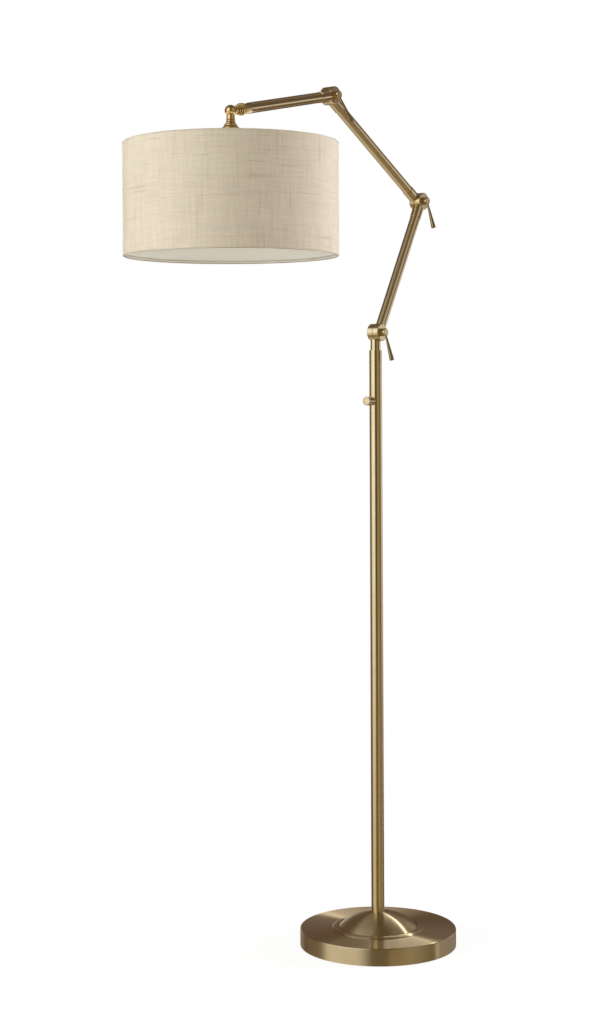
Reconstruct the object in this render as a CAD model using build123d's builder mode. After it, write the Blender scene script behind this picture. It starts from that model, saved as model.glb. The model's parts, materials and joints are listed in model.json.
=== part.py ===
from build123d import *
import os
from math import cos, radians, sin

# Adjustable arm floor lamp, in millimetres.
# +Z is up and the origin is on the floor, at the centre of the round base.
# The three arms move in planes parallel to XZ and reach towards -X. Every arm pivot is
# parallel to Y, the clamp levers are on the -Y side, and the parts lie as they rest.

# ---- driving dimensions: overall ----
BASE_RADIUS = 152.4
BASE_TOP = 34.0
DOME_TOP = 65.0
POLE_RADIUS = 12.7
POLE_TOP = 1164.0
SHADE_RADIUS = 190.5
SHADE_HEIGHT = 199.0
TUBE_RADIUS = 10.0

# ---- driving dimensions: the arm at rest ----
LOWER_PIVOT_HEIGHT = 1198.8
LOWER_LENGTH = 308.0
LOWER_LEAN = 29.3
MIDDLE_LENGTH = 350.0
MIDDLE_RISE = 30.2
UPPER_LENGTH = 312.0
UPPER_DROP = 12.0

# ---- driving dimensions: pivot drums and clamps ----
DRUM_RADIUS = 17.0
DISC_WIDTH = 12.5
SEAM = 0.6
TUBE_OFFSET = 3.9
SADDLE_GAP = 0.3
RIM_ROUND = 1.2
NECK_RADIUS = 10.9
NECK_END = 40.0
TUBE_START = 22.0
SPIGOT_LENGTH = 20.0
BOLT_RADIUS = 3.0
RUNNING_GAP = 0.05
KNOB_RADIUS = 7.5
KNOB_LENGTH = 8.6
LEVER_REACH = 55.0
LEVER_SPLAY = 16.0
TOP_LEVER_TURN = 21.0

# ---- driving dimensions: walls and fits ----
COVER_WALL = 1.5
POLE_WALL = 1.5
TUBE_WALL = 1.2
PIECE_GAP = 0.1
STUD_RADIUS = 5.0
WIRE_BORE = 3.6
PASS = 5.0

# ---- driving dimensions: knuckle and shade ----
BALL_RADIUS = 10.6
BALL_SEAM = 0.3
SHADE_DROP = 57.8
SHADE_WALL = 1.5
LINER_WALL = 1.0
WIRE_RADIUS = 1.6
SWITCH_HEIGHT = 1064.4

ORIGIN = Vector(0, 0, 0)
UP = Vector(0, 0, 1)
DOWN = Vector(0, 0, -1)
FAR = Vector(0, 1, 0)
NEAR = Vector(0, -1, 0)
REACH = Vector(-1, 0, 0)
BACKWARD = Vector(1, 0, 0)
NEAR_SIDE = -1
FAR_SIDE = 1

# The pivots follow from the arm lengths and angles.
lower_direction = Vector(sin(radians(LOWER_LEAN)), 0, cos(radians(LOWER_LEAN)))
middle_direction = Vector(-cos(radians(MIDDLE_RISE)), 0, sin(radians(MIDDLE_RISE)))
upper_direction = Vector(-cos(radians(UPPER_DROP)), 0, -sin(radians(UPPER_DROP)))
lower_pivot = Vector(0, -TUBE_OFFSET, LOWER_PIVOT_HEIGHT)
middle_pivot = lower_pivot + lower_direction * LOWER_LENGTH
upper_pivot = middle_pivot + middle_direction * MIDDLE_LENGTH
knuckle = upper_pivot + upper_direction * UPPER_LENGTH + NEAR * TUBE_OFFSET

os.makedirs("parts", exist_ok=True)


def write(piece, name):
    """Labels a finished piece and writes it under its own name."""
    piece.label = name
    export_step(piece, f"parts/{name}.step")


def lathe(outline, origin, direction, mode=Mode.ADD):
    """Turns a closed outline about the line from origin along direction.

    Each corner is (radius, distance along the line) or the same with a rounding radius."""
    sideways = FAR if abs(direction.Y) < 0.5 else REACH
    across = (sideways - direction * sideways.dot(direction)).normalized()
    plane = Plane(origin=origin, x_dir=across, z_dir=across.cross(direction))
    corners = [corner[:2] for corner in outline]
    roundings = [corner[2] if len(corner) > 2 else 0 for corner in outline]
    with BuildSketch(plane) as profile:
        with BuildLine():
            FilletPolyline(*corners, radius=roundings, close=True)
        make_face()
    revolve(profile.sketch, axis=Axis(origin, direction), mode=mode)


def rod(radius, origin, direction, start, end, mode=Mode.ADD):
    """Adds or cuts a round bar between two distances along a line."""
    with BuildSketch(Plane(origin=origin + direction * start, z_dir=direction)) as section:
        Circle(radius)
    extrude(section.sketch, amount=end - start, mode=mode)


def ring(outer, inner, origin, direction, start, end):
    """A plain ring or tube about a line."""
    with BuildPart() as piece:
        rod(outer, origin, direction, start, end)
        rod(inner, origin, direction, start, end, Mode.SUBTRACT)
    return piece.part


# ---- base ----
BEAD_OUTER = 90.0
BEAD_INNER = 78.0
BEAD_HEIGHT = 3.2
BEAD_STEP = 0.9
BEAD_CROWN = BASE_TOP + 3.0
BEAD_CROWN_RADIUS = 85.5
GROOVE_RADIUS = 76.6
GROOVE_DEPTH = 0.8
BASE_LIFT = 1.0
PAD_THICKNESS = 2.0
LAND_RADIUS = 13.4
RIM_ROUNDING = 2.2
MIDDLE_OF_DOME = 45.0
INLET_RADIUS = 5.5
INLET_HEIGHT = 8.7

DOME_BASE = BASE_TOP + 2.8
dome_fall = DOME_TOP - DOME_BASE
dome_span = GROOVE_RADIUS**2 - LAND_RADIUS**2
DOME_SPHERE = ((dome_span + dome_fall**2) ** 2 / (4 * dome_fall**2) + LAND_RADIUS**2) ** 0.5
dome_centre = DOME_TOP - (DOME_SPHERE**2 - LAND_RADIUS**2) ** 0.5


def dome_height(radius, sphere=DOME_SPHERE):
    """Height of the dome, or of a smaller concentric one, above the floor."""
    return dome_centre + (sphere**2 - radius**2) ** 0.5


def dome_point(radius, sphere=DOME_SPHERE):
    return (radius, dome_height(radius, sphere))


INNER_SPHERE = DOME_SPHERE - COVER_WALL
inner_top = dome_height(LAND_RADIUS, INNER_SPHERE)
INNER_BASE = BASE_TOP - COVER_WALL
INNER_JOIN = 79.0
INNER_DOME_EDGE = 74.6
groove_floor = DOME_BASE - GROOVE_DEPTH

with BuildPart() as base_cover:
    with BuildSketch(Plane.XZ) as cover_section:
        with BuildLine():
            rim_corner = BASE_RADIUS - RIM_ROUNDING
            Polyline((BASE_RADIUS - COVER_WALL, BASE_LIFT), (BASE_RADIUS, BASE_LIFT),
                     (BASE_RADIUS, BASE_TOP - RIM_ROUNDING))
            RadiusArc((BASE_RADIUS, BASE_TOP - RIM_ROUNDING), (rim_corner, BASE_TOP), -RIM_ROUNDING)
            Line((rim_corner, BASE_TOP), (BEAD_OUTER, BASE_TOP))
            Line((BEAD_OUTER, BASE_TOP), (BEAD_OUTER, BASE_TOP + BEAD_STEP))
            ThreePointArc((BEAD_OUTER, BASE_TOP + BEAD_STEP), (BEAD_CROWN_RADIUS, BEAD_CROWN),
                          (BEAD_INNER, BASE_TOP + BEAD_HEIGHT))
            Polyline((BEAD_INNER, BASE_TOP + BEAD_HEIGHT), (BEAD_INNER, groove_floor),
                     (GROOVE_RADIUS, groove_floor), dome_point(GROOVE_RADIUS))
            ThreePointArc(dome_point(GROOVE_RADIUS), dome_point(MIDDLE_OF_DOME),
                          dome_point(LAND_RADIUS))
            Polyline(dome_point(LAND_RADIUS), (STUD_RADIUS + PIECE_GAP, DOME_TOP),
                     (STUD_RADIUS + PIECE_GAP, inner_top), (LAND_RADIUS, inner_top))
            ThreePointArc((LAND_RADIUS, inner_top), dome_point(MIDDLE_OF_DOME, INNER_SPHERE),
                          dome_point(INNER_DOME_EDGE, INNER_SPHERE))
            Polyline(dome_point(INNER_DOME_EDGE, INNER_SPHERE), (INNER_JOIN, INNER_BASE),
                     (BASE_RADIUS - COVER_WALL, INNER_BASE), (BASE_RADIUS - COVER_WALL, BASE_LIFT))
        make_face()
    revolve(axis=Axis.Z)
    rod(INLET_RADIUS, UP * INLET_HEIGHT, BACKWARD, BASE_RADIUS - PASS, BASE_RADIUS + PASS,
        Mode.SUBTRACT)
base_cover.part.label = "base_cover"
export_step(base_cover.part, "parts/base_cover.step")

WEIGHT_RADIUS = 150.0
WEIGHT_TOP = 18.0
WEIGHT_SOFTENING = 1.0
BOSS_RADIUS = 16.0
BOSS_FOOT = 24.0
BOSS_FILLET = 4.0
RIB_OUTER = 140.0
RIB_INNER = 128.0
RIB_TAPER = 2.0
RIB_FILLET = 1.5
NUT_POCKET_RADIUS = 20.0
NUT_POCKET_TOP = 12.0
CORD_SLOT = 12.0
CORD_SLOT_HEIGHT = 13.0
CORD_SLOT_START = 15.0
rib_top = INNER_BASE - PIECE_GAP
boss_top = dome_height(BOSS_RADIUS, INNER_SPHERE) - PIECE_GAP

with BuildPart() as base_weight:
    lathe([(STUD_RADIUS + PIECE_GAP, NUT_POCKET_TOP), (NUT_POCKET_RADIUS, NUT_POCKET_TOP),
           (NUT_POCKET_RADIUS, PAD_THICKNESS), (WEIGHT_RADIUS, PAD_THICKNESS, WEIGHT_SOFTENING),
           (WEIGHT_RADIUS, WEIGHT_TOP, 2 * WEIGHT_SOFTENING), (RIB_OUTER, WEIGHT_TOP, RIB_FILLET),
           (RIB_OUTER - RIB_TAPER, rib_top, WEIGHT_SOFTENING),
           (RIB_INNER + RIB_TAPER, rib_top, WEIGHT_SOFTENING),
           (RIB_INNER, WEIGHT_TOP, RIB_FILLET), (BOSS_FOOT, WEIGHT_TOP, BOSS_FILLET),
           (BOSS_RADIUS, boss_top, WEIGHT_SOFTENING), (STUD_RADIUS + PIECE_GAP, boss_top)],
          ORIGIN, UP)
    with BuildSketch(Plane.XY.offset(PAD_THICKNESS)):
        with Locations(((CORD_SLOT_START + BASE_RADIUS) / 2, 0)):
            Rectangle(BASE_RADIUS - CORD_SLOT_START, CORD_SLOT)
    extrude(amount=CORD_SLOT_HEIGHT, mode=Mode.SUBTRACT)
base_weight.part.label = "base_weight"
export_step(base_weight.part, "parts/base_weight.step")

PAD_RADIUS = 146.0

with BuildPart() as base_pad:
    with BuildSketch(Plane.XY):
        Circle(PAD_RADIUS)
    extrude(amount=PAD_THICKNESS)
base_pad.part.label = "base_pad"
export_step(base_pad.part, "parts/base_pad.step")

INLET_DEPTH = -4.0
INLET_FLANGE = 7.5
INLET_LIP = 2.4

with BuildPart() as cord_inlet:
    lathe([(WIRE_BORE, INLET_DEPTH), (INLET_RADIUS - PIECE_GAP, INLET_DEPTH),
           (INLET_RADIUS - PIECE_GAP, 0), (INLET_FLANGE, 0), (INLET_FLANGE, INLET_LIP, 1.0),
           (WIRE_BORE, INLET_LIP, 0.8)],
          Vector(BASE_RADIUS + PIECE_GAP, 0, INLET_HEIGHT), BACKWARD)
cord_inlet.part.label = "cord_inlet"
export_step(cord_inlet.part, "parts/cord_inlet.step")

# ---- threaded stud that pulls the pole, cover and weight together ----
STUD_BOTTOM = 3.0
FOOT_HEIGHT = 34.0
NUT_HEIGHT = 5.0
NUT_ACROSS = 17.0
WASHER_THICKNESS = 2.0
BASE_WASHER_RADIUS = 18.0
stud_top = DOME_TOP + 32.0
nut_bottom = NUT_POCKET_TOP - WASHER_THICKNESS - NUT_HEIGHT

with BuildPart() as base_stud:
    rod(STUD_RADIUS, ORIGIN, UP, STUD_BOTTOM, stud_top)
    rod(WIRE_BORE, ORIGIN, UP, STUD_BOTTOM, stud_top, Mode.SUBTRACT)
base_stud.part.label = "base_stud"
export_step(base_stud.part, "parts/base_stud.step")

with BuildPart() as base_washer:
    with BuildSketch(Plane.XY.offset(NUT_POCKET_TOP - WASHER_THICKNESS)):
        Circle(BASE_WASHER_RADIUS)
        Circle(STUD_RADIUS + PIECE_GAP, mode=Mode.SUBTRACT)
    extrude(amount=WASHER_THICKNESS)
base_washer.part.label = "base_washer"
export_step(base_washer.part, "parts/base_washer.step")

with BuildPart() as base_nut:
    with BuildSketch(Plane.XY.offset(nut_bottom)):
        RegularPolygon(NUT_ACROSS / 2, 6, major_radius=False)
        Circle(STUD_RADIUS, mode=Mode.SUBTRACT)
    extrude(amount=NUT_HEIGHT)
base_nut.part.label = "base_nut"
export_step(base_nut.part, "parts/base_nut.step")

pole_bore = POLE_RADIUS - POLE_WALL
write(ring(pole_bore - RUNNING_GAP, STUD_RADIUS, ORIGIN, UP,
           DOME_TOP, DOME_TOP + FOOT_HEIGHT), "pole_foot")

# ---- pole, its switch and its top bush ----
SWITCH_BODY_RADIUS = 8.6
SWITCH_BODY_DEPTH = 6.0
SWITCH_NECK_RADIUS = 4.5
SHAFT_RADIUS = 2.5
BEZEL_RADIUS = 7.6
BEZEL_END = 17.4
BEZEL_START = 7.7
SWITCH_KNOB_RADIUS = 8.5
SWITCH_KNOB_START = 17.8
SWITCH_KNOB_END = 32.4
SWITCH_KNOB_EDGE = 0.9
DISH_RADIUS = 6.4
DISH_DEPTH = 0.5
SHAFT_START = 0.5
SHAFT_END = 27.0
SADDLE_REACH = 20.0
switch_centre = Vector(0, 0, SWITCH_HEIGHT)

with BuildPart() as pole:
    rod(POLE_RADIUS, ORIGIN, UP, DOME_TOP, POLE_TOP)
    rod(pole_bore, ORIGIN, UP, DOME_TOP, POLE_TOP, Mode.SUBTRACT)
    rod(SWITCH_NECK_RADIUS + PIECE_GAP, switch_centre, REACH, 0, POLE_RADIUS + PASS, Mode.SUBTRACT)
pole.part.label = "pole"
export_step(pole.part, "parts/pole.step")

with BuildPart() as switch_body:
    rod(SWITCH_BODY_RADIUS, switch_centre, REACH, -SWITCH_BODY_DEPTH, SWITCH_BODY_DEPTH)
    rod(SWITCH_NECK_RADIUS, switch_centre, REACH, SWITCH_BODY_DEPTH, BEZEL_END)
    rod(SHAFT_RADIUS + RUNNING_GAP, switch_centre, REACH, 0, BEZEL_END, Mode.SUBTRACT)
switch_body.part.label = "switch_body"
export_step(switch_body.part, "parts/switch_body.step")

with BuildPart() as switch_bezel:
    lathe([(SWITCH_NECK_RADIUS, BEZEL_START), (BEZEL_RADIUS, BEZEL_START),
           (BEZEL_RADIUS, BEZEL_END, SWITCH_KNOB_EDGE), (SWITCH_NECK_RADIUS, BEZEL_END)],
          switch_centre, REACH)
    rod(POLE_RADIUS + RUNNING_GAP, ORIGIN, UP, SWITCH_HEIGHT - SADDLE_REACH,
        SWITCH_HEIGHT + SADDLE_REACH, Mode.SUBTRACT)
switch_bezel.part.label = "switch_bezel"
export_step(switch_bezel.part, "parts/switch_bezel.step")

with BuildPart() as switch_shaft:
    rod(SHAFT_RADIUS, switch_centre, REACH, SHAFT_START, SHAFT_END)
switch_shaft.part.label = "switch_shaft"
export_step(switch_shaft.part, "parts/switch_shaft.step")

with BuildPart() as switch_knob:
    lathe([(0, SWITCH_KNOB_START), (SWITCH_KNOB_RADIUS, SWITCH_KNOB_START, SWITCH_KNOB_EDGE),
           (SWITCH_KNOB_RADIUS, SWITCH_KNOB_END, SWITCH_KNOB_EDGE),
           (DISH_RADIUS, SWITCH_KNOB_END), (DISH_RADIUS - DISH_DEPTH, SWITCH_KNOB_END - DISH_DEPTH),
           (0, SWITCH_KNOB_END - DISH_DEPTH)], switch_centre, REACH)
    rod(SHAFT_RADIUS, switch_centre, REACH, 0, SHAFT_END, Mode.SUBTRACT)
switch_knob.part.label = "switch_knob"
export_step(switch_knob.part, "parts/switch_knob.step")

BUSH_DEPTH = 45.0
bush_top = POLE_TOP - 0.5

write(ring(pole_bore - RUNNING_GAP, TUBE_RADIUS + RUNNING_GAP, ORIGIN, UP,
           POLE_TOP - BUSH_DEPTH, bush_top), "pole_bush")


# ---- pivot drums ----
# A drum is two discs side by side with a friction washer in the seam. Each disc carries a
# neck for its own tube. The neck is wider than the disc, so it is hollowed to clear the
# other disc as the joint turns.
BOLT_HEAD_RADIUS = 5.4
BOLT_HEAD_DEPTH = 3.2
WASHER_RADIUS = 14.0
KNOB_WASHER = 0.8
SEAM_EDGE = 0.3
POST_BELOW_BUSH = 15.0
SPIGOT_CLEARANCE = 0.5
WIRE_BORE_START = 13.0
half_seam = SEAM / 2
disc_face = half_seam + DISC_WIDTH


def tube_centre(pivot, side):
    """The point beside a pivot that the tube on that side of the drum runs from."""
    return pivot + FAR * (side * TUBE_OFFSET)


def disc_and_neck(pivot, direction, side, neck_radius, neck_end):
    """The solid of one drum half, before its bores; it joins the part being built."""
    outward = FAR * side
    rod(neck_radius, tube_centre(pivot, side), direction, 0, neck_end)
    rod(DRUM_RADIUS + SADDLE_GAP, pivot, outward, -3 * DRUM_RADIUS, half_seam, Mode.SUBTRACT)
    rod(DRUM_RADIUS, pivot, outward, disc_face, 3 * DRUM_RADIUS, Mode.SUBTRACT)
    lathe([(0, half_seam), (DRUM_RADIUS, half_seam, SEAM_EDGE), (DRUM_RADIUS, disc_face, RIM_ROUND),
           (0, disc_face)], pivot, outward)


def bolt_bore(pivot, side):
    """Cuts the clamp bolt's bore, with a pocket for its head on the far side."""
    outward = FAR * side
    rod(BOLT_RADIUS + RUNNING_GAP, pivot, outward, 0, disc_face + PASS, Mode.SUBTRACT)
    if side == FAR_SIDE:
        rod(BOLT_HEAD_RADIUS + PIECE_GAP, pivot, outward, disc_face - BOLT_HEAD_DEPTH,
            disc_face + PASS, Mode.SUBTRACT)


def sleeve_hub(pivot, direction, side):
    """A drum half whose neck is a sleeve around the end of its tube."""
    with BuildPart() as piece:
        disc_and_neck(pivot, direction, side, NECK_RADIUS, NECK_END)
        rod(TUBE_RADIUS, tube_centre(pivot, side), direction, TUBE_START, NECK_END + PASS,
            Mode.SUBTRACT)
        bolt_bore(pivot, side)
    return piece.part


def flush_hub(pivot, direction, side, shoulder, spigot_radius, spigot_end):
    """A drum half whose neck is as thick as its tube, with a spigot inside the tube."""
    with BuildPart() as piece:
        disc_and_neck(pivot, direction, side, TUBE_RADIUS, shoulder)
        rod(spigot_radius, tube_centre(pivot, side), direction, shoulder, spigot_end)
        rod(WIRE_BORE, tube_centre(pivot, side), direction, WIRE_BORE_START,
            spigot_end + PASS, Mode.SUBTRACT)
        bolt_bore(pivot, side)
    return piece.part


tube_bore = TUBE_RADIUS - TUBE_WALL
post_length = LOWER_PIVOT_HEIGHT - POLE_TOP + BUSH_DEPTH + POST_BELOW_BUSH

write(flush_hub(lower_pivot, DOWN, FAR_SIDE, post_length - 1, TUBE_RADIUS - SPIGOT_CLEARANCE,
                post_length), "post_hub")
write(flush_hub(lower_pivot, lower_direction, NEAR_SIDE, TUBE_START,
                tube_bore - RUNNING_GAP, TUBE_START + SPIGOT_LENGTH), "lower_arm_foot_hub")
write(sleeve_hub(middle_pivot, -lower_direction, NEAR_SIDE), "lower_arm_head_hub")
write(sleeve_hub(middle_pivot, middle_direction, FAR_SIDE), "middle_arm_foot_hub")
write(sleeve_hub(upper_pivot, -middle_direction, FAR_SIDE), "middle_arm_head_hub")
write(sleeve_hub(upper_pivot, upper_direction, NEAR_SIDE), "upper_arm_hub")

# ---- arm tubes ----
FERRULE_START = 52.0
COLLAR_START = 40.6

write(ring(TUBE_RADIUS, tube_bore, tube_centre(lower_pivot, NEAR_SIDE), lower_direction,
           TUBE_START, LOWER_LENGTH - TUBE_START), "lower_arm_tube")
write(ring(TUBE_RADIUS, tube_bore, tube_centre(middle_pivot, FAR_SIDE), middle_direction,
           TUBE_START, MIDDLE_LENGTH - TUBE_START), "middle_arm_tube")
write(ring(TUBE_RADIUS, tube_bore, tube_centre(upper_pivot, NEAR_SIDE), upper_direction,
           TUBE_START, UPPER_LENGTH - FERRULE_START), "upper_arm_tube")

# ---- clamps: bolt, friction washer, knob and lever at each pivot ----
BOLT_HEAD_EDGE = 0.8
BOLT_HEAD_SINK = 0.4
BOLT_ROOM = 0.3
KNOB_EDGE = 1.0
KNOB_ROOT_EDGE = 0.4
KNOB_WASHER_RADIUS = 6.9
LEVER_ROOT = 4.0
LEVER_ROOT_RADIUS = 1.9
LEVER_FLARE_START = 8.8
LEVER_FLARE = 8.0
LEVER_TIP_RADIUS = 4.6
LEVER_TIP_EDGE = 1.6
LEVER_FROM_FACE = 3.0
knob_start = disc_face + KNOB_WASHER
knob_end = knob_start + KNOB_LENGTH
bolt_end = knob_start + 4.2
lever_at = knob_end - LEVER_FROM_FACE
lever_length = LEVER_REACH / cos(radians(LEVER_SPLAY))


def clamp_bolt(pivot):
    """A bolt through the drum, from the far side's pocket into the near knob."""
    with BuildPart() as piece:
        head_start = disc_face - BOLT_HEAD_DEPTH
        head_end = disc_face - BOLT_HEAD_SINK
        rod(BOLT_RADIUS, pivot, NEAR, -head_start, bolt_end)
        lathe([(0, head_start), (BOLT_HEAD_RADIUS, head_start),
               (BOLT_HEAD_RADIUS, head_end, BOLT_HEAD_EDGE), (0, head_end)], pivot, FAR)
    return piece.part


def lever_direction(hang):
    """A lever leans out from the drum as it runs along hang."""
    return hang * cos(radians(LEVER_SPLAY)) + NEAR * sin(radians(LEVER_SPLAY))


def clamp_knob(pivot, hang):
    """The round knob on the bolt's near end, with a hole for its lever."""
    with BuildPart() as piece:
        lathe([(0, knob_start), (KNOB_RADIUS, knob_start, KNOB_ROOT_EDGE),
               (KNOB_RADIUS, knob_end, KNOB_EDGE), (0, knob_end)], pivot, NEAR)
        rod(BOLT_RADIUS + RUNNING_GAP, pivot, NEAR, 0, bolt_end + BOLT_ROOM, Mode.SUBTRACT)
        rod(LEVER_ROOT_RADIUS, pivot + NEAR * lever_at, lever_direction(hang), LEVER_ROOT,
            3 * LEVER_ROOT, Mode.SUBTRACT)
    return piece.part


def clamp_lever(pivot, hang):
    """A slim lever that flares towards its blunt end."""
    with BuildPart() as piece:
        lathe([(0, LEVER_ROOT), (LEVER_ROOT_RADIUS, LEVER_ROOT),
               (LEVER_ROOT_RADIUS, LEVER_FLARE_START, LEVER_FLARE),
               (LEVER_TIP_RADIUS, lever_length, LEVER_TIP_EDGE), (0, lever_length)],
              pivot + NEAR * lever_at, lever_direction(hang))
    return piece.part


upper_hang = Vector(sin(radians(TOP_LEVER_TURN)), 0, -cos(radians(TOP_LEVER_TURN)))
clamps = [
    ("lower", lower_pivot, DOWN),
    ("middle", middle_pivot, DOWN),
    ("upper", upper_pivot, upper_hang),
]
for place, pivot, hang in clamps:
    write(clamp_bolt(pivot), f"{place}_clamp_bolt")
    write(clamp_knob(pivot, hang), f"{place}_clamp_knob")
    write(clamp_lever(pivot, hang), f"{place}_clamp_lever")
    write(ring(KNOB_WASHER_RADIUS, BOLT_RADIUS + RUNNING_GAP, pivot, NEAR, disc_face, knob_start),
          f"{place}_knob_washer")
    write(ring(WASHER_RADIUS, BOLT_RADIUS + RUNNING_GAP, pivot, NEAR, PIECE_GAP - half_seam,
               half_seam), f"{place}_friction_washer")

# ---- upper arm's end: ferrule, ribbed collar and the far half of the knuckle ----
# Distances run from the knuckle back along the arm.
back = -upper_direction
NIPPLE_RADIUS = 4.8
NIPPLE_END = 36.0
KNUCKLE_NECK = 6.2
COLLAR_END = 14.0
FERRULE_TIP = 8.4
FERRULE_CURVE = 12.0
FERRULE_TAIL = 54.0
FERRULE_END = 68.0

with BuildPart() as upper_arm_ferrule:
    lathe([(NIPPLE_RADIUS, COLLAR_START), (FERRULE_TIP, COLLAR_START),
           (TUBE_RADIUS, FERRULE_START, FERRULE_CURVE), (TUBE_RADIUS, FERRULE_TAIL),
           (NIPPLE_RADIUS, FERRULE_TAIL)], knuckle, back)
    rod(TUBE_RADIUS + 1, knuckle, back, FERRULE_START, FERRULE_END, Mode.SUBTRACT)
    rod(tube_bore - RUNNING_GAP, knuckle, back, FERRULE_START, FERRULE_END)
    rod(NIPPLE_RADIUS, knuckle, back, FERRULE_START, FERRULE_END, Mode.SUBTRACT)
upper_arm_ferrule.part.label = "upper_arm_ferrule"
export_step(upper_arm_ferrule.part, "parts/upper_arm_ferrule.step")

RIB_SOFTNESS = 0.4
GROOVE_CUT = 1.7
CORE_OVERLAP = 0.6

# Ribs as (radius, start, end), smallest by the ball.
collar_ribs = [(7.2, 14.0, 16.6), (8.4, 17.6, 20.6), (9.8, 21.8, 25.2), (11.4, 26.6, 32.2),
               (10.4, 33.4, 36.4), (9.2, 37.4, 40.6)]


def ribbed(ribs, bore, origin, direction):
    """A turned collar: rounded ribs on a thinner core that follows them, with a bore."""
    with BuildPart() as piece:
        for number, (radius, start, end) in enumerate(ribs):
            softness = (end - start) * RIB_SOFTNESS
            lathe([(bore, start), (radius, start, softness), (radius, end, softness), (bore, end)],
                  origin, direction)
            if number:
                before = ribs[number - 1]
                core = min(radius, before[0]) - GROOVE_CUT
                core_start = before[2] - CORE_OVERLAP
                core_end = start + CORE_OVERLAP
                lathe([(bore, core_start), (core, core_start), (core, core_end), (bore, core_end)],
                      origin, direction)
    return piece.part


write(ribbed(collar_ribs, NIPPLE_RADIUS, knuckle, back), "arm_collar")

half_ball_seam = BALL_SEAM / 2
SCREW_RADIUS = 2.0
SCREW_HEAD_RADIUS = 3.6
SCREW_HEAD_DEPTH = 2.0
SCREW_HEAD_SINK = 1.2
SCREW_SLOT = 0.9
SCREW_SLOT_TURN = 35
ARM_WIRE_BORE = 2.6
BORE_INSET = 2.0


def half_ball(side):
    """Half of the knuckle's ball; it joins the part being built."""
    outward = FAR * side
    with BuildSketch(Plane(origin=knuckle, x_dir=REACH, z_dir=REACH.cross(outward))) as quarter:
        Circle(BALL_RADIUS)
        with Locations((BALL_RADIUS, 0)):
            Rectangle(2 * BALL_RADIUS, 4 * BALL_RADIUS, mode=Mode.INTERSECT)
        with Locations((0, half_ball_seam + BALL_RADIUS)):
            Rectangle(4 * BALL_RADIUS, 2 * BALL_RADIUS, mode=Mode.INTERSECT)
    revolve(quarter.sketch, axis=Axis(knuckle, outward))


def knuckle_half(side, direction, neck, neck_end, nipple_end):
    """A half ball with a neck and a threaded nipple, hollowed to clear the other half."""
    outward = FAR * side
    with BuildPart() as piece:
        rod(neck, knuckle, direction, 0, neck_end)
        rod(NIPPLE_RADIUS, knuckle, direction, neck_end, nipple_end)
        with BuildSketch(Plane(origin=knuckle, x_dir=REACH, z_dir=REACH.cross(outward))) as room:
            Circle(BALL_RADIUS + SADDLE_GAP)
            with Locations((BALL_RADIUS, 0)):
                Rectangle(2 * BALL_RADIUS, 4 * BALL_RADIUS, mode=Mode.INTERSECT)
            with Locations((0, half_ball_seam - 2 * BALL_RADIUS)):
                Rectangle(4 * BALL_RADIUS, 4 * BALL_RADIUS, mode=Mode.INTERSECT)
        revolve(room.sketch, axis=Axis(knuckle, outward), mode=Mode.SUBTRACT)
        half_ball(side)
        rod(SCREW_RADIUS + RUNNING_GAP, knuckle, outward, 0, BALL_RADIUS + PASS, Mode.SUBTRACT)
        rod(SCREW_HEAD_RADIUS + PIECE_GAP, knuckle, outward,
            BALL_RADIUS - SCREW_HEAD_DEPTH - SCREW_HEAD_SINK, BALL_RADIUS + PASS, Mode.SUBTRACT)
        rod(ARM_WIRE_BORE, knuckle, direction, BALL_RADIUS - BORE_INSET, nipple_end + 1,
            Mode.SUBTRACT)
    return piece.part


write(knuckle_half(FAR_SIDE, back, KNUCKLE_NECK, COLLAR_END, NIPPLE_END), "knuckle_arm_half")

# ---- shade side of the knuckle; distances run down from the knuckle's centre ----
NECK_START = 13.7
SHADE_NIPPLE_END = 40.0
SHADE_NECK_RADIUS = 7.3
SCREW_HEAD_EDGE = 0.6
head_depth = BALL_RADIUS - SCREW_HEAD_SINK
head_root = head_depth - SCREW_HEAD_DEPTH

write(knuckle_half(NEAR_SIDE, DOWN, SHADE_NECK_RADIUS, NECK_START, SHADE_NIPPLE_END),
      "knuckle_shade_half")

with BuildPart() as knuckle_screw:
    rod(SCREW_RADIUS, knuckle, FAR, -head_root, head_root)
    for outward in (NEAR, FAR):
        lathe([(0, head_root), (SCREW_HEAD_RADIUS, head_root),
               (SCREW_HEAD_RADIUS, head_depth, SCREW_HEAD_EDGE), (0, head_depth)], knuckle, outward)
    with BuildSketch(Plane(origin=knuckle + NEAR * head_depth, z_dir=NEAR)):
        Rectangle(SCREW_SLOT, 3 * SCREW_HEAD_RADIUS, rotation=SCREW_SLOT_TURN)
    extrude(amount=-SCREW_SLOT, mode=Mode.SUBTRACT)
knuckle_screw.part.label = "knuckle_screw"
export_step(knuckle_screw.part, "parts/knuckle_screw.step")

neck_ribs = [(8.3, 13.7, 16.2), (8.3, 17.2, 19.4), (9.0, 20.4, 22.4), (11.6, 23.4, 26.4)]

write(ribbed(neck_ribs, NIPPLE_RADIUS, knuckle, DOWN), "shade_neck")

BELL_START = 26.4
BELL_NECK = 12.0
BELL_RADIUS = 14.4
BELL_END = 29.8
BELL_EDGE = 0.6
CAP_RADIUS = 19.8
CAP_END = SHADE_DROP
CAP_WALL = 1.0
CAP_SHOULDER = 31.4
CAP_CURVE = 1.5
CAP_INNER_SHOULDER = 33.0
CAP_INNER_TOP = 31.8

with BuildPart() as shade_bell:
    lathe([(NIPPLE_RADIUS, BELL_START), (BELL_NECK, BELL_START, BELL_EDGE),
           (BELL_RADIUS, BELL_END, BELL_EDGE), (NIPPLE_RADIUS, BELL_END)], knuckle, DOWN)
shade_bell.part.label = "shade_bell"
export_step(shade_bell.part, "parts/shade_bell.step")

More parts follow.
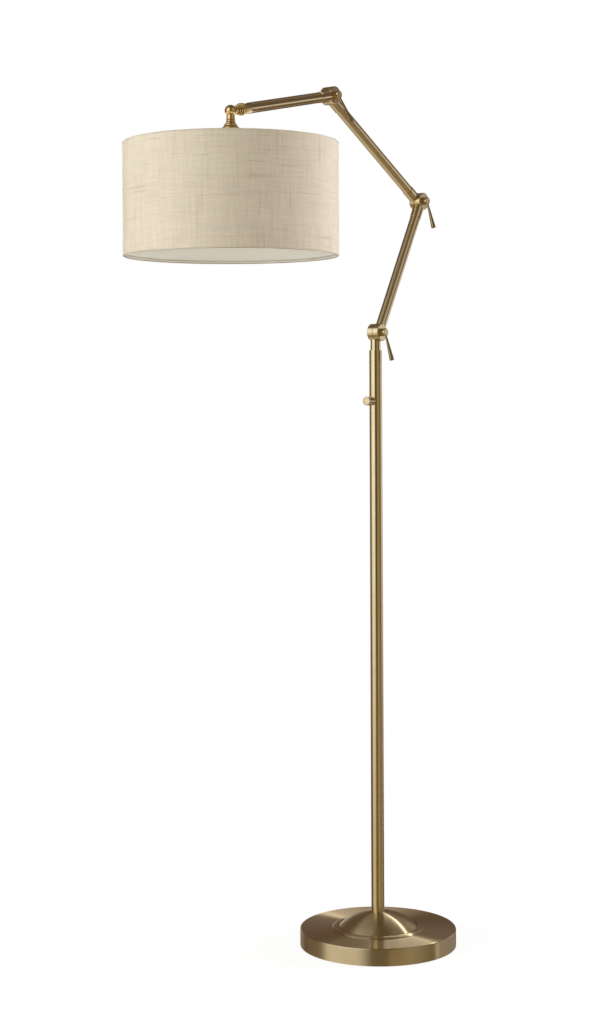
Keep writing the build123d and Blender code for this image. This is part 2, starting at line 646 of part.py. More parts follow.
with BuildPart() as socket_cap:
    lathe([(NIPPLE_RADIUS, BELL_END), (BELL_RADIUS, BELL_END), (CAP_RADIUS, CAP_SHOULDER, CAP_CURVE),
           (CAP_RADIUS, CAP_END), (CAP_RADIUS - CAP_WALL, CAP_END),
           (CAP_RADIUS - CAP_WALL, CAP_INNER_SHOULDER), (NIPPLE_RADIUS, CAP_INNER_TOP)],
          knuckle, DOWN)
socket_cap.part.label = "socket_cap"
export_step(socket_cap.part, "parts/socket_cap.step")

# ---- lamp socket and bulb ----
SOCKET_RADIUS = 17.4
SOCKET_TOP = 41.0
SOCKET_END = 84.0
BULB_BASE_RADIUS = 13.0
BULB_BASE_TOP = 60.0
BULB_BASE_END = 86.0
BULB_TIP_RADIUS = 4.5
BULB_TIP_HEIGHT = 3.0
BULB_RADIUS = 30.0
BULB_END = 170.0
BULB_WALL = 1.2
BULB_NECK = 4.0
BULB_SHOULDER = 21.6
BULB_SHOULDER_RISE = 22.0
SOCKET_EDGE = 2.0
SOCKET_LIP = 0.8
SOCKET_BORE = 13.4
SOCKET_FLOOR = 59.0
NUT_RING_RADIUS = 22.4
SPIDER_THICKNESS = 1.6
NUT_RING_LENGTH = 6.0

with BuildPart() as socket_body:
    lathe([(0, SOCKET_TOP), (SOCKET_RADIUS, SOCKET_TOP, SOCKET_EDGE),
           (SOCKET_RADIUS, SOCKET_END, SOCKET_LIP), (SOCKET_BORE, SOCKET_END),
           (SOCKET_BORE, SOCKET_FLOOR), (0, SOCKET_FLOOR)], knuckle, DOWN)
socket_body.part.label = "socket_body"
export_step(socket_body.part, "parts/socket_body.step")

write(ring(NUT_RING_RADIUS, SOCKET_RADIUS, knuckle, DOWN, SHADE_DROP + SPIDER_THICKNESS,
           SHADE_DROP + SPIDER_THICKNESS + NUT_RING_LENGTH), "socket_ring_nut")

with BuildPart() as bulb_base:
    lathe([(0, BULB_BASE_TOP), (BULB_TIP_RADIUS, BULB_BASE_TOP),
           (BULB_BASE_RADIUS, BULB_BASE_TOP + BULB_TIP_HEIGHT),
           (BULB_BASE_RADIUS, BULB_BASE_END), (0, BULB_BASE_END)], knuckle, DOWN)
bulb_base.part.label = "bulb_base"
export_step(bulb_base.part, "parts/bulb_base.step")

bulb_centre = BULB_END - BULB_RADIUS
neck_end = BULB_BASE_END + BULB_NECK


def bulb_shape(inset, mode=Mode.ADD):
    """The bulb's outline turned about its axis, smaller all round by the inset."""
    radius = BULB_BASE_RADIUS - inset
    widest = BULB_RADIUS - inset
    with BuildSketch(Plane(origin=knuckle, x_dir=FAR, z_dir=FAR.cross(DOWN))) as outline:
        with BuildLine():
            Polyline((0, BULB_BASE_END), (radius, BULB_BASE_END), (radius, neck_end))
            Spline((radius, neck_end), (BULB_SHOULDER - inset, bulb_centre - BULB_SHOULDER_RISE),
                   (widest, bulb_centre), tangents=((0, 1), (0, 1)))
            RadiusArc((widest, bulb_centre), (0, bulb_centre + widest), -widest)
            Line((0, bulb_centre + widest), (0, BULB_BASE_END))
        make_face()
    revolve(outline.sketch, axis=Axis(knuckle, DOWN), mode=mode)


with BuildPart() as bulb_glass:
    bulb_shape(0)
    bulb_shape(BULB_WALL, Mode.SUBTRACT)
bulb_glass.part.label = "bulb_glass"
export_step(bulb_glass.part, "parts/bulb_glass.step")

# ---- shade: wire frame, liner, cloth and folded edge tapes ----
shade_top = SHADE_DROP
shade_bottom = SHADE_DROP + SHADE_HEIGHT
cloth_inner = SHADE_RADIUS - SHADE_WALL
liner_inner = cloth_inner - LINER_WALL
wire_centre = liner_inner - WIRE_RADIUS
WIRE_INSET = 3.0
SPIDER_ARMS = 3
SPIDER_ARM_WIDTH = 6.0
SPIDER_RING = 24.0
SPIDER_TURN = 60
LINER_INSET = 0.5


def wire_ring(depth):
    """A round wire hoop just inside the liner; it joins the part being built."""
    with BuildSketch(Plane(origin=knuckle, x_dir=FAR, z_dir=FAR.cross(DOWN))) as section:
        with Locations((wire_centre, depth)):
            Circle(WIRE_RADIUS)
    revolve(section.sketch, axis=Axis(knuckle, DOWN))


with BuildPart() as shade_spider:
    spider_plane = Plane(origin=knuckle + DOWN * (SHADE_DROP + SPIDER_THICKNESS), z_dir=UP)
    with BuildSketch(spider_plane) as spider_section:
        Circle(SPIDER_RING)
        with PolarLocations(0, SPIDER_ARMS, start_angle=SPIDER_TURN):
            with Locations((wire_centre / 2, 0)):
                Rectangle(wire_centre, SPIDER_ARM_WIDTH)
        Circle(SOCKET_RADIUS + PIECE_GAP, mode=Mode.SUBTRACT)
    extrude(spider_section.sketch, amount=SPIDER_THICKNESS)
    wire_ring(SHADE_DROP + WIRE_RADIUS)
shade_spider.part.label = "shade_spider"
export_step(shade_spider.part, "parts/shade_spider.step")

with BuildPart() as shade_bottom_ring:
    wire_ring(shade_bottom - WIRE_RADIUS - WIRE_INSET)
shade_bottom_ring.part.label = "shade_bottom_ring"
export_step(shade_bottom_ring.part, "parts/shade_bottom_ring.step")

write(ring(cloth_inner, liner_inner, knuckle, DOWN, shade_top + LINER_INSET,
           shade_bottom - LINER_INSET),
      "shade_liner")
write(ring(SHADE_RADIUS, cloth_inner, knuckle, DOWN, shade_top, shade_bottom), "shade_cloth")
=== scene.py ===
import json
from math import cos, pi, radians, sin

import bpy
import numpy as np
from mathutils import Matrix, Quaternion, Vector


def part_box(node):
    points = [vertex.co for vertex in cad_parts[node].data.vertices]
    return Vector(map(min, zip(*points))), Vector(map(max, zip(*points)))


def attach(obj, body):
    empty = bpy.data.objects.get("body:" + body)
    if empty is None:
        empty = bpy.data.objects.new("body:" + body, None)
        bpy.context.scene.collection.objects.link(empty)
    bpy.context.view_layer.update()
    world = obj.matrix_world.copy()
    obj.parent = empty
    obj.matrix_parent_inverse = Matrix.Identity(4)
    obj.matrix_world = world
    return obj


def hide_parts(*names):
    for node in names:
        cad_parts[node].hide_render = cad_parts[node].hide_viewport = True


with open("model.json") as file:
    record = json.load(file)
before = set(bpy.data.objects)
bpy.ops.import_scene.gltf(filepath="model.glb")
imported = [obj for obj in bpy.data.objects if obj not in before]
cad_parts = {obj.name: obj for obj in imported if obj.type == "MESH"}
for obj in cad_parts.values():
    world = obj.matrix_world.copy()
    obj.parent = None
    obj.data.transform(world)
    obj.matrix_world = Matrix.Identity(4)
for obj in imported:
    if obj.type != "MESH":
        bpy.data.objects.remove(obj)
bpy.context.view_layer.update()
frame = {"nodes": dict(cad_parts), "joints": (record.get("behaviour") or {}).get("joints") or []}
nodes = frame["nodes"]
pivots = {joint["name"]: Vector(joint["pos_m"]) for joint in frame["joints"]}
scene = bpy.context.scene
scene.view_settings.view_transform = "Standard"

# ---- camera ----
VIEW_TURN = radians(53)
CAMERA_BACK = 3.749
CAMERA_LEFT = 0.1484
CAMERA_HEIGHT = 1.0662
LENS = 67.7
SHIFT_DOWN = -0.1062
CAMERA_ROLL = radians(0.25)

away = Vector((sin(VIEW_TURN), cos(VIEW_TURN), 0))
right = Vector((cos(VIEW_TURN), -sin(VIEW_TURN), 0))
up = Vector((0, 0, 1))
camera_data = bpy.data.cameras.new("camera")
camera_data.lens = LENS
camera_data.shift_y = SHIFT_DOWN
camera = bpy.data.objects.new("camera", camera_data)
scene.collection.objects.link(camera)
camera.location = -away * CAMERA_BACK - right * CAMERA_LEFT + up * CAMERA_HEIGHT
camera.rotation_mode = "QUATERNION"
camera.rotation_quaternion = Quaternion(away, CAMERA_ROLL) @ away.to_track_quat("-Z", "Y")
scene.camera = camera


# ---- node helpers ----
def add(tree, kind, inputs=None, **settings):
    """A new node. Inputs are sockets to link or values to set."""
    node = tree.nodes.new(kind)
    for name, value in settings.items():
        setattr(node, name, value)
    for name, value in (inputs or {}).items():
        if isinstance(value, bpy.types.NodeSocket):
            tree.links.new(value, node.inputs[name])
        else:
            node.inputs[name].default_value = value
    return node


def calc(tree, operation, first, second=0.0, third=0.0, clamp=False):
    return add(tree, "ShaderNodeMath", {0: first, 1: second, 2: third},
               operation=operation, use_clamp=clamp).outputs[0]


def vector_calc(tree, operation, first, second=(0, 0, 0)):
    node = add(tree, "ShaderNodeVectorMath", {0: first, 1: second}, operation=operation)
    return node.outputs["Value" if operation in ("DOT_PRODUCT", "LENGTH") else "Vector"]


def span(tree, value, low, high, to_low=0.0, to_high=1.0):
    """Value from low to high, mapped to another range and held there."""
    return add(tree, "ShaderNodeMapRange", {"Value": value, "From Min": low, "From Max": high,
                                            "To Min": to_low, "To Max": to_high}).outputs[0]


def mix(tree, factor, first, second):
    """Two colours mixed by a factor."""
    node = add(tree, "ShaderNodeMix", {0: factor, 6: first, 7: second}, data_type="RGBA",
               clamp_factor=False)
    return node.outputs[2]


def ramp(tree, value, stops):
    """A colour ramp from (position, colour) stops."""
    node = add(tree, "ShaderNodeValToRGB", {0: value})
    elements = node.color_ramp.elements
    while len(elements) < len(stops):
        elements.new(1.0)
    for element, (position, colour) in zip(elements, stops):
        element.position = position
        element.color = (*colour, 1)
    return node.outputs[0]


def noise(tree, vector, scale, detail=2.0, roughness=0.5):
    return add(tree, "ShaderNodeTexNoise", {"Vector": vector, "Scale": scale, "Detail": detail,
                                            "Roughness": roughness}).outputs[0]


def combine(tree, x, y, z):
    return add(tree, "ShaderNodeCombineXYZ", {0: x, 1: y, 2: z}).outputs[0]


def rgba(colour, factor=1.0):
    return (*(channel * factor for channel in colour), 1)


def tinted(colour, tint):
    """A colour multiplied channel by channel."""
    return rgba([channel * share for channel, share in zip(colour, tint)])


# ---- studio: world, floor and lamps ----
TOWARDS_CAMERA = -away
IMAGE_LEFT = -right


def turn_stop(turn, colour):
    """A stop of the studio ramps. Turn is in degrees: 0 at the camera, 90 at image left."""
    return ((turn + 180) / 360, colour)


# What polished metal sees, in bands by height and, within a band, by turn round the lamp.
WHITE_BEHIND = (0.80, 0.80, 0.79)
SOFTBOX = (1.18, 1.24, 1.28)
SOFTBOX_EDGE = (0.74, 0.73, 0.66)
SOFTBOX_FOOT = (0.56, 0.47, 0.32)
SOFTBOX_FOOT_MIDDLE = (0.66, 0.60, 0.46)
SOFTBOX_FOOT_EDGE = (0.74, 0.68, 0.55)
FLAG = (0.17, 0.14, 0.09)
DARK = (0.062, 0.040, 0.008)
WALL = (0.43, 0.35, 0.215)
WALL_DIM = (0.20, 0.150, 0.080)
ROOM = (0.14, 0.10, 0.075)
CEILING = (0.12, 0.10, 0.065)
CEILING_LEFT = (0.18, 0.145, 0.09)
STREAK = (1.1, 1.1, 1.0)
PANEL = (0.50, 0.49, 0.46)
PANEL_BEHIND = (0.46, 0.45, 0.42)
FLOOR_NEAR = (0.27, 0.22, 0.15)
FLOOR_BEHIND = (0.60, 0.53, 0.42)
DEEP_TO_LOW = (-0.52, -0.40)
LOW_TO_LEVEL = (-0.22, -0.05)
LEVEL_TO_HIGH = (0.02, 0.18)
HIGH_TO_CEILING = (0.62, 0.85)
CEILING_ACROSS = (-0.1, 0.25)

level_stops = [
    turn_stop(-180, ROOM), turn_stop(-158, ROOM), turn_stop(-146, WHITE_BEHIND),
    turn_stop(-98, WHITE_BEHIND), turn_stop(-88, FLAG), turn_stop(-76, FLAG),
    turn_stop(-68, WALL_DIM), turn_stop(-28, WALL), turn_stop(-15, FLAG), turn_stop(-8, DARK),
    turn_stop(12, DARK), turn_stop(27, SOFTBOX), turn_stop(64, SOFTBOX),
    turn_stop(84, SOFTBOX_EDGE), turn_stop(98, FLAG), turn_stop(134, FLAG),
    turn_stop(148, WHITE_BEHIND), turn_stop(180, WHITE_BEHIND),
]
high_stops = [
    turn_stop(-180, ROOM), turn_stop(-152, ROOM), turn_stop(-144, PANEL_BEHIND),
    turn_stop(-136, PANEL_BEHIND), turn_stop(-130, ROOM), turn_stop(-90, ROOM),
    turn_stop(-60, PANEL), turn_stop(-44, PANEL), turn_stop(-34, WALL_DIM),
    turn_stop(-15, FLAG), turn_stop(12, FLAG), turn_stop(27, SOFTBOX), turn_stop(78, SOFTBOX),
    turn_stop(100, ROOM), turn_stop(180, ROOM),
]
low_stops = [
    turn_stop(-180, ROOM), turn_stop(-98.5, ROOM), turn_stop(-96.5, STREAK),
    turn_stop(-94, STREAK), turn_stop(-92, ROOM), turn_stop(-84, WALL_DIM),
    turn_stop(-16, WALL), turn_stop(-11, FLAG), turn_stop(28, FLAG),
    turn_stop(33, SOFTBOX_FOOT), turn_stop(66, SOFTBOX_FOOT_MIDDLE),
    turn_stop(84, SOFTBOX_FOOT_EDGE), turn_stop(91, ROOM), turn_stop(180, ROOM),
]
deep_stops = [
    turn_stop(-180, FLOOR_BEHIND), turn_stop(-120, FLOOR_BEHIND), turn_stop(-104, FLOOR_NEAR),
    turn_stop(84, FLOOR_NEAR), turn_stop(135, FLOOR_BEHIND), turn_stop(180, FLOOR_BEHIND),
]

world = bpy.data.worlds.new("studio")
scene.world = world
world.use_nodes = True
world.cycles.sampling_method = "NONE"
tree = world.node_tree
tree.nodes.clear()
direction = add(tree, "ShaderNodeTexCoord").outputs["Generated"]
towards = vector_calc(tree, "DOT_PRODUCT", direction, TOWARDS_CAMERA)
leftwards = vector_calc(tree, "DOT_PRODUCT", direction, IMAGE_LEFT)
height = vector_calc(tree, "DOT_PRODUCT", direction, up)
turn = calc(tree, "ARCTAN2", leftwards, towards)
around = calc(tree, "MULTIPLY_ADD", turn, 1 / (2 * pi), 0.5)
level = ramp(tree, around, level_stops)
high = ramp(tree, around, high_stops)
low = ramp(tree, around, low_stops)
deep = ramp(tree, around, deep_stops)
bottom = mix(tree, span(tree, height, *DEEP_TO_LOW), deep, low)
lower_half = mix(tree, span(tree, height, *LOW_TO_LEVEL), bottom, level)
upper_half = mix(tree, span(tree, height, *LEVEL_TO_HIGH), lower_half, high)
ceiling = mix(tree, span(tree, leftwards, *CEILING_ACROSS), rgba(CEILING), rgba(CEILING_LEFT))
seen = mix(tree, span(tree, height, *HIGH_TO_CEILING), upper_half, ceiling)

# Matt surfaces see a plain soft dome: light from overhead, from the left, and from the right
# a little behind the lamp.
BLACK = rgba((0, 0, 0))
LOBE_EDGE = 0.80
OVERHEAD_EDGE = 0.35
OVERHEAD_DIM = 0.03
OVERHEAD_LEVEL, OVERHEAD_TINT = 0.56, (1.0, 0.94, 0.70)
KEY_TURN, KEY_LEVEL, KEY_TINT = radians(60), 9.0, (0.98, 1.0, 1.12)
RIM_TURN, RIM_LEVEL, RIM_TINT = radians(-104), 10.8, (1.0, 0.99, 1.15)


def level_line(turn):
    """The level direction at a turn from the camera towards image left."""
    return TOWARDS_CAMERA * cos(turn) + IMAGE_LEFT * sin(turn)


def lobe(turn, level, tint):
    """Soft light from one side, as colour."""
    facing = vector_calc(tree, "DOT_PRODUCT", direction, level_line(turn))
    strength = span(tree, facing, LOBE_EDGE, 1.0, 0.0, level)
    return mix(tree, strength, BLACK, rgba(tint))


overhead_strength = span(tree, height, OVERHEAD_EDGE, 1.0, OVERHEAD_DIM, OVERHEAD_LEVEL)
overhead_light = mix(tree, overhead_strength, BLACK, rgba(OVERHEAD_TINT))
side_light = vector_calc(tree, "ADD", lobe(KEY_TURN, KEY_LEVEL, KEY_TINT),
                         lobe(RIM_TURN, RIM_LEVEL, RIM_TINT))
dome = vector_calc(tree, "ADD", overhead_light, side_light)
dome_light = add(tree, "ShaderNodeBackground", {"Color": dome, "Strength": 1.0})
gloss_light = add(tree, "ShaderNodeBackground", {"Color": seen, "Strength": 1.0})
backdrop = add(tree, "ShaderNodeBackground", {"Color": (1, 1, 1, 1), "Strength": 1.0})
rays = add(tree, "ShaderNodeLightPath")
lit = add(tree, "ShaderNodeMixShader", {0: rays.outputs["Is Glossy Ray"],
                                        1: dome_light.outputs[0], 2: gloss_light.outputs[0]})
final = add(tree, "ShaderNodeMixShader", {0: rays.outputs["Is Camera Ray"],
                                          1: lit.outputs[0], 2: backdrop.outputs[0]})
add(tree, "ShaderNodeOutputWorld", {"Surface": final.outputs[0]})

# The camera sees a white floor. Matt surfaces get warm light back from it, and polished ones
# do not see it.
FLOOR_SIZE = 60.0
FLOOR_BOUNCE = (0.58, 0.52, 0.40)
FLOOR_SHADOWED = (0.16, 0.16, 0.16)
FLOOR_GLOW = 0.9
floor_mesh = bpy.data.meshes.new("floor")
half = FLOOR_SIZE / 2
floor_mesh.from_pydata([(-half, -half, 0), (half, -half, 0), (half, half, 0), (-half, half, 0)],
                       [], [(0, 1, 2, 3)])
floor = bpy.data.objects.new("floor", floor_mesh)
scene.collection.objects.link(floor)
floor.visible_glossy = False
floor_material = bpy.data.materials.new("floor")
floor_material.use_nodes = True
floor_tree = floor_material.node_tree
floor_shader = floor_tree.nodes["Principled BSDF"]
floor_rays = add(floor_tree, "ShaderNodeLightPath")
by_camera = floor_rays.outputs["Is Camera Ray"]
floor_colour = mix(floor_tree, by_camera, rgba(FLOOR_BOUNCE), rgba(FLOOR_SHADOWED))
floor_tree.links.new(floor_colour, floor_shader.inputs["Base Color"])
floor_shader.inputs["Emission Color"].default_value = rgba((1, 1, 1))
floor_tree.links.new(calc(floor_tree, "MULTIPLY", by_camera, FLOOR_GLOW),
                     floor_shader.inputs["Emission Strength"])
floor_shader.inputs["Roughness"].default_value = 0.9
floor_shader.inputs["Specular IOR Level"].default_value = 0.0
floor_mesh.materials.append(floor_material)

# One long strip light falls on the spun base alone. It lies along the cone of directions that
# one radius of the base reflects to the camera, so it makes one narrow streak there.
STRIP_TURN = radians(-148)
STRIP_LIFT = radians(44)
STRIP_DISTANCE = 3.0
STRIP_WIDTH = 0.05
STRIP_LENGTH = 3.0
STRIP_POWER = 9
STREAK_TURN = radians(-48)
strip_data = bpy.data.lights.new("strip_behind", "AREA")
strip_data.shape = "RECTANGLE"
strip_data.size = STRIP_WIDTH
strip_data.size_y = STRIP_LENGTH
strip_data.energy = STRIP_POWER
strip = bpy.data.objects.new("strip_behind", strip_data)
scene.collection.objects.link(strip)
to_strip = level_line(STRIP_TURN) * cos(STRIP_LIFT) + up * sin(STRIP_LIFT)
strip_run = level_line(STREAK_TURN + pi / 2).cross(to_strip).normalized()
strip_axes = Matrix((strip_run.cross(to_strip), strip_run, to_strip)).transposed()
strip.location = to_strip * STRIP_DISTANCE
strip.rotation_mode = "QUATERNION"
strip.rotation_quaternion = strip_axes.to_quaternion()
strip.visible_camera = False
spun_parts = bpy.data.collections.new("spun_parts")
spun_parts.objects.link(nodes["base_cover"])
strip.light_linking.receiver_collection = spun_parts

# ---- materials ----
BRASS = (0.81, 0.665, 0.42)
BRASS_TURNED = (0.83, 0.60, 0.27)
# Lever brass is the same brass painted darker: painted shade for the dark room the levers
# reflect.
LEVER_BRASS_SHADED = (0.40, 0.30, 0.17)
PATINA = (0.90, 0.855, 0.756)
# Dark brown laid into crevices by occlusion: grime and painted shade together.
CREVICE_GRIME_AND_SHADE = (0.12, 0.07, 0.025)
GRAIN_SHADE = 0.5
SPOT_SHADE = 0.62
SPOTTING = 0.35
EDGE_SHINE = 1.12
EDGE_WIDTH = 0.0006
CREVICE_REACH = 0.004
CLOUDS = 34
SPECKS = 900
CAST_GRAIN = 1600
ROUGHNESS_SPREAD = 0.06
EDGE_POLISH = -0.04
TUBE_ROUGHNESS = 0.17
TUBE_GRAIN_DEPTH = 0.0000012
KNOB_ROUGHNESS = 0.24
QUARTER_TURN = 0.25


def material(name):
    """A new material with its tree and its shader."""
    made = bpy.data.materials.new(name)
    made.use_nodes = True
    shader = made.node_tree.nodes["Principled BSDF"]
    return made, made.node_tree, shader


def position(tree):
    return add(tree, "ShaderNodeTexCoord").outputs["Object"]


def grain_vector(tree, origin, axis, across, along, rings):
    """Coordinates stretched for grain: lengthwise brushing, or turned rings about the axis."""
    place = vector_calc(tree, "SUBTRACT", position(tree), origin)
    side = axis.orthogonal().normalized()
    other = axis.cross(side)
    a = vector_calc(tree, "DOT_PRODUCT", place, side)
    b = vector_calc(tree, "DOT_PRODUCT", place, other)
    c = vector_calc(tree, "DOT_PRODUCT", place, axis)
    if rings:
        square = calc(tree, "MULTIPLY_ADD", a, a, calc(tree, "MULTIPLY", b, b))
        c = calc(tree, "ADD", c, calc(tree, "SQRT", square))
    return combine(tree, calc(tree, "MULTIPLY", a, across), calc(tree, "MULTIPLY", b, across),
                   calc(tree, "MULTIPLY", c, along))


def brass(name, colour, roughness, grain=None, depth=0.000006, anisotropy=0.0, tangent=None,
          crevice_shade=0.0, tone=0.12):
    """Aged brass: base colour with patina, worn edges, grime and painted shade in crevices, and
    brushed grain.
    """
    made, tree, shader = material(name)
    place = position(tree)
    cloud = noise(tree, place, CLOUDS, 4, 0.6)
    speck = noise(tree, place, SPECKS, 2, 0.5)
    if grain:
        lines = noise(tree, grain(tree), 1.0, 3, 0.6)
    else:
        lines = noise(tree, place, CAST_GRAIN, 3)
    aged = mix(tree, span(tree, cloud, 0.35, 0.7, 0, 0.5), rgba(colour),
               tinted(colour, PATINA))
    brushed = mix(tree, span(tree, lines, 0.3, 0.7, 0.0, tone), aged, rgba(colour, GRAIN_SHADE))
    spotted = mix(tree, span(tree, speck, 0.68, 0.80, 0, SPOTTING), brushed,
                  rgba(colour, SPOT_SHADE))
    bevel = add(tree, "ShaderNodeBevel", {"Radius": EDGE_WIDTH}, samples=4)
    flat = add(tree, "ShaderNodeNewGeometry").outputs["Normal"]
    edge = span(tree, vector_calc(tree, "DOT_PRODUCT", bevel.outputs[0], flat), 0.99, 0.80)
    wear_and_shade = mix(tree, edge, spotted, rgba(colour, EDGE_SHINE))
    # Grime and painted shade: darker brown where ambient occlusion finds the surface hemmed in,
    # in grooves and seams.
    if crevice_shade:
        occlusion = add(tree, "ShaderNodeAmbientOcclusion", {"Distance": CREVICE_REACH},
                        samples=8, only_local=True)
        painted_crevice_shade = span(tree, occlusion.outputs["AO"], 0.25, 0.85, crevice_shade, 0.0)
        wear_and_shade = mix(tree, painted_crevice_shade, wear_and_shade, rgba(CREVICE_GRIME_AND_SHADE))
    tree.links.new(wear_and_shade, shader.inputs["Base Color"])
    shader.inputs["Metallic"].default_value = 1.0
    rough = calc(tree, "MULTIPLY_ADD", lines, ROUGHNESS_SPREAD, roughness - ROUGHNESS_SPREAD)
    rough = calc(tree, "MULTIPLY_ADD", cloud, ROUGHNESS_SPREAD, rough)
    rough = calc(tree, "MULTIPLY_ADD", edge, EDGE_POLISH, rough, clamp=True)
    tree.links.new(rough, shader.inputs["Roughness"])
    bump = add(tree, "ShaderNodeBump", {"Height": lines, "Strength": 0.5, "Distance": depth})
    tree.links.new(bump.outputs[0], shader.inputs["Normal"])
    if anisotropy:
        shader.inputs["Anisotropic"].default_value = anisotropy
        shader.inputs["Anisotropic Rotation"].default_value = QUARTER_TURN
        tree.links.new(tangent(tree), shader.inputs["Tangent"])
    return made


def give(material_made, *names):
    """Put one material on every slot of some CAD nodes."""
    for name in names:
        for slot in nodes[name].material_slots:
            slot.material = material_made


def ring_tangent(origin, axis):
    """A tangent that runs round an axis."""
    def make(tree):
        place = vector_calc(tree, "SUBTRACT", position(tree), origin)
        return vector_calc(tree, "NORMALIZE", vector_calc(tree, "CROSS_PRODUCT", axis, place))
    return make


def rings(origin, axis, across=60, along=5200):
    """Turned grain: fine rings about an axis."""
    return lambda tree: grain_vector(tree, origin, axis, across, along, True)


def lengthwise(origin, axis):
    """Brushed grain: long lines beside an axis."""
    return lambda tree: grain_vector(tree, origin, axis, 1500, 14, False)


origin = Vector((0, 0, 0))
lower, middle = pivots["lower_arm_pivot"], pivots["middle_arm_pivot"]
upper, knuckle = pivots["upper_arm_pivot"], pivots["shade_knuckle"]
pivot_axis = Vector((0, 1, 0))

give(brass("brass_spun", BRASS, 0.30, rings(origin, up, 9, 1500), anisotropy=1.0,
           tangent=ring_tangent(origin, up), crevice_shade=0.75, tone=0.24), "base_cover")
give(brass("brass_pole", BRASS, TUBE_ROUGHNESS, lengthwise(origin, up), TUBE_GRAIN_DEPTH),
     "pole")
for arm, start, end in (("lower", lower, middle), ("middle", middle, upper),
                        ("upper", upper, knuckle)):
    axis = (end - start).normalized()
    give(brass(f"brass_{arm}_tube", BRASS, TUBE_ROUGHNESS, lengthwise(start, axis),
               TUBE_GRAIN_DEPTH), f"{arm}_arm_tube")
arm_axis = (upper - knuckle).normalized()
give(brass("brass_ferrule", BRASS, TUBE_ROUGHNESS, rings(knuckle, arm_axis)),
     "upper_arm_ferrule")
give(brass("brass_cast", BRASS, 0.14), "post_hub", "lower_arm_foot_hub", "lower_arm_head_hub",
     "middle_arm_foot_hub", "middle_arm_head_hub", "upper_arm_hub")
switch_centre = pivots["switch_turn"]
switch_axis = Vector((1, 0, 0))
give(brass("brass_switch", BRASS, 0.2, rings(switch_centre, switch_axis)),
     "switch_bezel", "switch_knob")
give(brass("brass_collar", BRASS_TURNED, 0.12, rings(knuckle, arm_axis), crevice_shade=0.9),
     "arm_collar", "knuckle_arm_half")
give(brass("brass_neck", BRASS_TURNED, 0.12, rings(knuckle, up), crevice_shade=0.9),
     "shade_neck", "shade_bell", "socket_cap", "knuckle_shade_half")
give(brass("brass_screw", BRASS_TURNED, KNOB_ROUGHNESS, rings(knuckle, pivot_axis)),
     "knuckle_screw")


def long_axis(name):
    """The direction in which a slim node is longest."""
    points = np.array([v.co for v in nodes[name].data.vertices])
    centre = points.mean(0)
    values, vectors = np.linalg.eigh(np.cov((points - centre).T))
    return Vector(centre), Vector(vectors[:, values.argmax()])


for place, pivot in (("lower", lower), ("middle", middle), ("upper", upper)):
    give(brass(f"brass_{place}_knob", BRASS, KNOB_ROUGHNESS, rings(pivot, pivot_axis)),
         f"{place}_clamp_knob", f"{place}_knob_washer")
    centre, axis = long_axis(f"{place}_clamp_lever")
    # The levers take the darker brass, which is painted shade.
    give(brass(f"brass_{place}_lever", LEVER_BRASS_SHADED, 0.18, rings(centre, axis)),
         f"{place}_clamp_lever")


def plain(name, colour, roughness, metallic=0.0, scale=700.0, tone=0.08, relief=0.00003,
          sheen=0.0, coat=0.0, glow=0.0):
    """Moulded, cast, plated or felted surface. Glow is painted light, standing in for light that
    soaks through from behind.
    """
    made, tree, shader = material(name)
    place = position(tree)
    fine = noise(tree, place, scale, 4, 0.6)
    broad = noise(tree, place, 40, 3, 0.5)
    toned = mix(tree, span(tree, fine, 0.3, 0.7), rgba(colour, 1 - tone),
                rgba(colour, 1 + tone / 2))
    toned = mix(tree, span(tree, broad, 0.4, 0.7, 0, 0.5), toned, rgba(colour, 1 - tone))
    tree.links.new(toned, shader.inputs["Base Color"])
    shader.inputs["Metallic"].default_value = metallic
    rough = calc(tree, "MULTIPLY_ADD", fine, 0.16, roughness - 0.08, clamp=True)
    tree.links.new(rough, shader.inputs["Roughness"])
    bump = add(tree, "ShaderNodeBump", {"Height": fine, "Strength": 0.6, "Distance": relief})
    tree.links.new(bump.outputs[0], shader.inputs["Normal"])
    shader.inputs["Sheen Weight"].default_value = sheen
    shader.inputs["Coat Weight"].default_value = coat
    tree.links.new(toned, shader.inputs["Emission Color"])
    shader.inputs["Emission Strength"].default_value = glow
    return made


give(plain("cast_iron", (0.10, 0.10, 0.105), 0.75, metallic=0.6, scale=500, tone=0.3,
           relief=0.0003), "base_weight")
give(plain("felt", (0.035, 0.034, 0.032), 0.95, scale=2600, tone=0.45, relief=0.0004,
           sheen=0.4), "base_pad")
give(plain("black_plastic", (0.03, 0.03, 0.03), 0.5), "cord_inlet", "pole_bush", "switch_body")
give(plain("fibre", (0.11, 0.08, 0.055), 0.8, scale=1800, tone=0.3),
     "lower_friction_washer", "middle_friction_washer", "upper_friction_washer")
give(plain("zinc", (0.62, 0.62, 0.60), 0.32, metallic=1.0, scale=900, tone=0.12),
     "base_stud", "base_washer", "base_nut", "pole_foot", "switch_shaft", "lower_clamp_bolt",
     "middle_clamp_bolt", "upper_clamp_bolt")
give(plain("porcelain", (0.86, 0.84, 0.79), 0.22, coat=0.5), "socket_body")
give(plain("white_plastic", (0.84, 0.83, 0.79), 0.4), "socket_ring_nut")
give(plain("screw_shell", (0.78, 0.77, 0.75), 0.3, metallic=1.0), "bulb_base")
give(plain("frosted_glass", (0.90, 0.89, 0.85), 0.34, coat=0.3, tone=0.02), "bulb_glass")
give(plain("powder_coat", (0.86, 0.85, 0.81), 0.38, scale=1500), "shade_spider",
     "shade_bottom_ring")
# The liner's glow is painted light for light soaking through the shade from outside.
give(plain("styrene", (0.90, 0.885, 0.83), 0.5, scale=260, tone=0.03, relief=0.00005,
           glow=0.20), "shade_liner")

